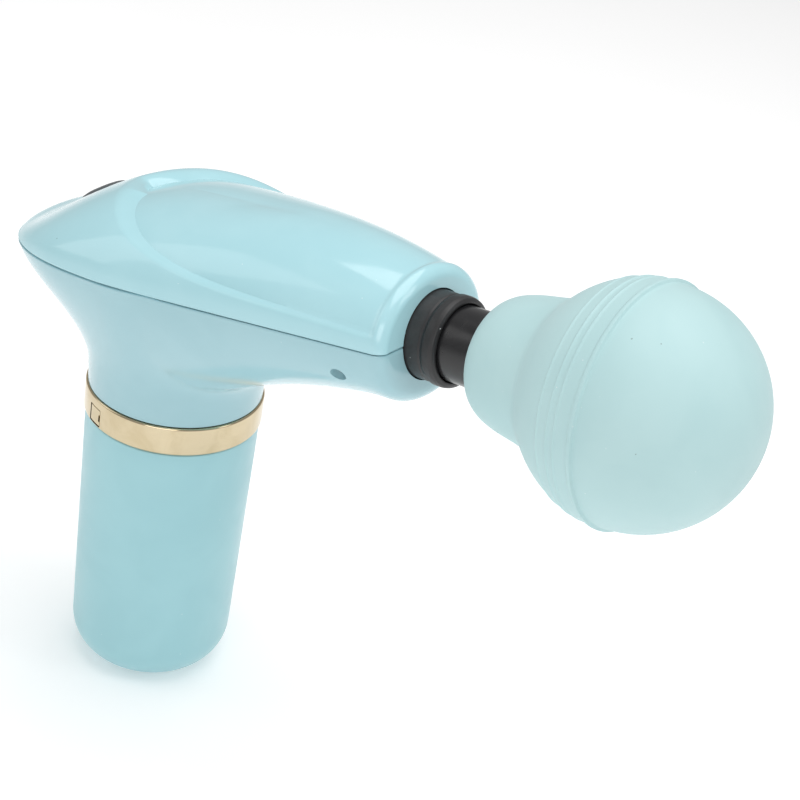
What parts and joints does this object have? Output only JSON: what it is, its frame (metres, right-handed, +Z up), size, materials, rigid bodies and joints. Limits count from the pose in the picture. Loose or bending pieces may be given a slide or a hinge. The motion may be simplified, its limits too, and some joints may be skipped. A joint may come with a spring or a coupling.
{
  "type": "massage gun",
  "caption": "Handheld massage gun: round handle with a gold trim ring, tapered barrel housing with an inset top panel, and a push-in ball head on a short stem.",
  "frame": {"origin": "centre of the handle's flat base", "axes": "+Z up the handle's axis, +X from the handle towards the ball head, +Y to the user's left; symmetric about XZ but for the small ring clip"},
  "size_m": [0.1996, 0.0608, 0.1673],
  "materials": {
    "shell_aqua": "glossy moulded ABS",
    "handle_aqua": "satin moulded ABS",
    "pale_gold": "polished pale gold plating",
    "black_rubber": "satin",
    "black_nylon": "glossy",
    "grey_rubber": "satin",
    "mint_silicone": "matte",
    "stiff_pu": "matte",
    "white_nylon": "matte",
    "steel": "ground",
    "aluminium": "machined",
    "bronze": "sintered",
    "copper": "enamelled wire",
    "circuit_board": "solder mask",
    "cell_wrap": "heat-shrunk wrap",
    "foam": "closed-cell foam"
  },
  "bodies": {
    "housing": {"upper_shell": "shell_aqua", "lower_shell": "shell_aqua", "belly_screw_left": "steel", "belly_screw_right": "steel", "handle_shell": "handle_aqua", "base_plug": "handle_aqua", "neck_sleeve": "white_nylon", "trim_ring": "pale_gold", "trim_ring_clip": "pale_gold", "nose_collar": "black_rubber", "button_board": "circuit_board", "tact_switch": "steel", "battery_cell_left": "cell_wrap", "battery_cell_right": "cell_wrap", "cell_spacer_front": "white_nylon", "cell_spacer_rear": "white_nylon", "cell_link": "steel", "base_pad": "foam", "protection_board": "circuit_board", "main_board": "circuit_board", "power_inductor": "black_nylon", "usb_socket": "steel", "motor_can": "steel", "motor_end_bell": "aluminium", "motor_bearing": "steel", "motor_plate": "aluminium", "motor_screw_1": "steel", "motor_screw_2": "steel", "motor_screw_3": "steel", "guide_sleeve": "aluminium", "guide_bush_front": "bronze", "guide_bush_rear": "bronze"},
    "rotor": {"motor_shaft": "steel", "rotor_core": "copper", "crank_disc": "steel"},
    "piston": {"piston": "aluminium", "wrist_pin": "steel"},
    "rod": {"connecting_rod": "aluminium", "crank_pin": "steel", "crank_bearing": "steel"},
    "head": {"head_stem": "black_nylon", "stem_o_ring_front": "black_rubber", "stem_o_ring_rear": "black_rubber", "ball_head": "mint_silicone", "ball_core": "stiff_pu"},
    "button": {"power_button": "grey_rubber"}
  },
  "joints": [
    {"name": "motor_spin", "type": "hinge", "parent": "housing", "child": "rotor", "pos_m": [0.00095, 0, 0.11388], "axis": [-0.1585, 0, 0.9874], "continuous": true},
    {"name": "piston_slide", "type": "slide", "parent": "housing", "child": "piston", "axis": [0.9874, 0, 0.1585], "range_m": [0, 0.008]},
    {"name": "rod_swing", "type": "hinge", "parent": "piston", "child": "rod", "pos_m": [0.02172, 0, 0.12329], "axis": [-0.1585, 0, 0.9874], "range_deg": [-8.9, 8.9]},
    {"name": "head_pull", "type": "slide", "parent": "piston", "child": "head", "axis": [0.9874, 0, 0.1585], "range_m": [0, 0.03]},
    {"name": "button_press", "type": "slide", "parent": "housing", "child": "button", "axis": [0.6453, 0, -0.7639], "range_m": [0, 0.0008], "stiffness_N_per_m": 1500, "springref_m": -0.0008}
  ]
}
